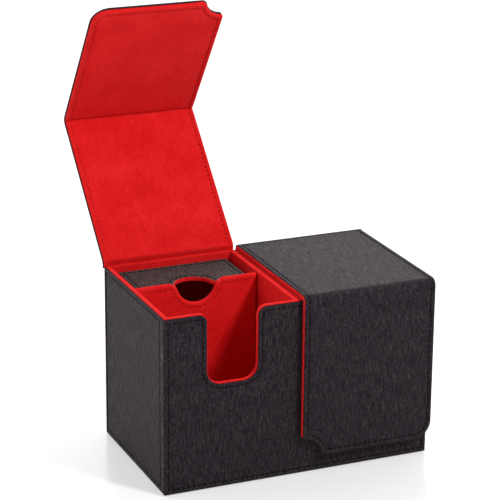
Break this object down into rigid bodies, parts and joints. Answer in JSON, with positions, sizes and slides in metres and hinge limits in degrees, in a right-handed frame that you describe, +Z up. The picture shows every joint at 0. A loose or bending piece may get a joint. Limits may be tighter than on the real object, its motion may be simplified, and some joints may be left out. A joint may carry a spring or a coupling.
{
  "type": "card deck box",
  "caption": "Side-by-side card deck box with suede-lined pockets, upright dividers and lift-out trays, each pocket under a magnetic flip lid with a fold-down front flap.",
  "frame": {"origin": "centre of the case's underside, on the table", "axes": "+Z up, -Y out of the front, X across the pockets with X = 0 in the middle of the centre wall"},
  "size_m": [0.1574, 0.1589, 0.2426],
  "materials": {
    "linen_cover": "dark grey linen-look cloth, matt",
    "suede_lining": "red suede, napped",
    "greyboard": "raw greyboard",
    "magnet": "nickel plated"
  },
  "bodies": {
    "case": {"base_board": "greyboard", "front_board": "greyboard", "back_board": "greyboard", "left_side_board": "greyboard", "right_side_board": "greyboard", "centre_board": "greyboard", "bottom_cover": "linen_cover", "front_cover": "linen_cover", "back_cover": "linen_cover", "left_side_cover": "linen_cover", "right_side_cover": "linen_cover", "left_pocket_lining": "suede_lining", "right_pocket_lining": "suede_lining", "left_divider_board": "greyboard", "left_divider_lining": "suede_lining", "right_divider_board": "greyboard", "right_divider_lining": "suede_lining", "left_case_magnets": "magnet", "right_case_magnets": "magnet", "left_hinge_strip": "linen_cover", "right_hinge_strip": "linen_cover", "right_tray_frame": "greyboard", "right_tray_back_board": "greyboard", "right_tray_cover": "linen_cover", "right_tray_lining": "suede_lining"},
    "left_tray": {"left_tray_frame": "greyboard", "left_tray_back_board": "greyboard", "left_tray_cover": "linen_cover", "left_tray_lining": "suede_lining"},
    "left_lid": {"left_lid_board": "greyboard", "left_lid_cover": "linen_cover", "left_lid_lining": "suede_lining", "left_fold_strip": "linen_cover"},
    "left_flap": {"left_flap_board": "greyboard", "left_flap_cover": "linen_cover", "left_flap_lining": "suede_lining", "left_flap_magnets": "magnet"},
    "right_lid": {"right_lid_board": "greyboard", "right_lid_cover": "linen_cover", "right_lid_lining": "suede_lining", "right_fold_strip": "linen_cover"},
    "right_flap": {"right_flap_board": "greyboard", "right_flap_cover": "linen_cover", "right_flap_lining": "suede_lining", "right_flap_magnets": "magnet"}
  },
  "joints": [
    {"name": "left_lid_hinge", "type": "hinge", "parent": "case", "child": "left_lid", "pos_m": [-0.0398, 0.04415, 0.1017], "axis": [-1, 0, 0], "range_deg": [-134.3, 45.7], "deforming": ["left_hinge_strip"]},
    {"name": "left_flap_fold", "type": "hinge", "parent": "left_lid", "child": "left_flap", "pos_m": [-0.0398, 0.10494, 0.16771], "axis": [-1, 0, 0], "range_deg": [-10.3, 79.7], "deforming": ["left_fold_strip"]},
    {"name": "right_lid_hinge", "type": "hinge", "parent": "case", "child": "right_lid", "pos_m": [0.0398, 0.04415, 0.1017], "axis": [-1, 0, 0], "range_deg": [0, 180], "deforming": ["right_hinge_strip"]},
    {"name": "right_flap_fold", "type": "hinge", "parent": "right_lid", "child": "right_flap", "pos_m": [0.0398, -0.04555, 0.0991], "axis": [-1, 0, 0], "range_deg": [0, 90], "deforming": ["right_fold_strip"]},
    {"name": "left_tray_lift", "type": "slide", "parent": "case", "child": "left_tray", "axis": [0, 0, 1], "range_m": [0, 0.097]}
  ]
}
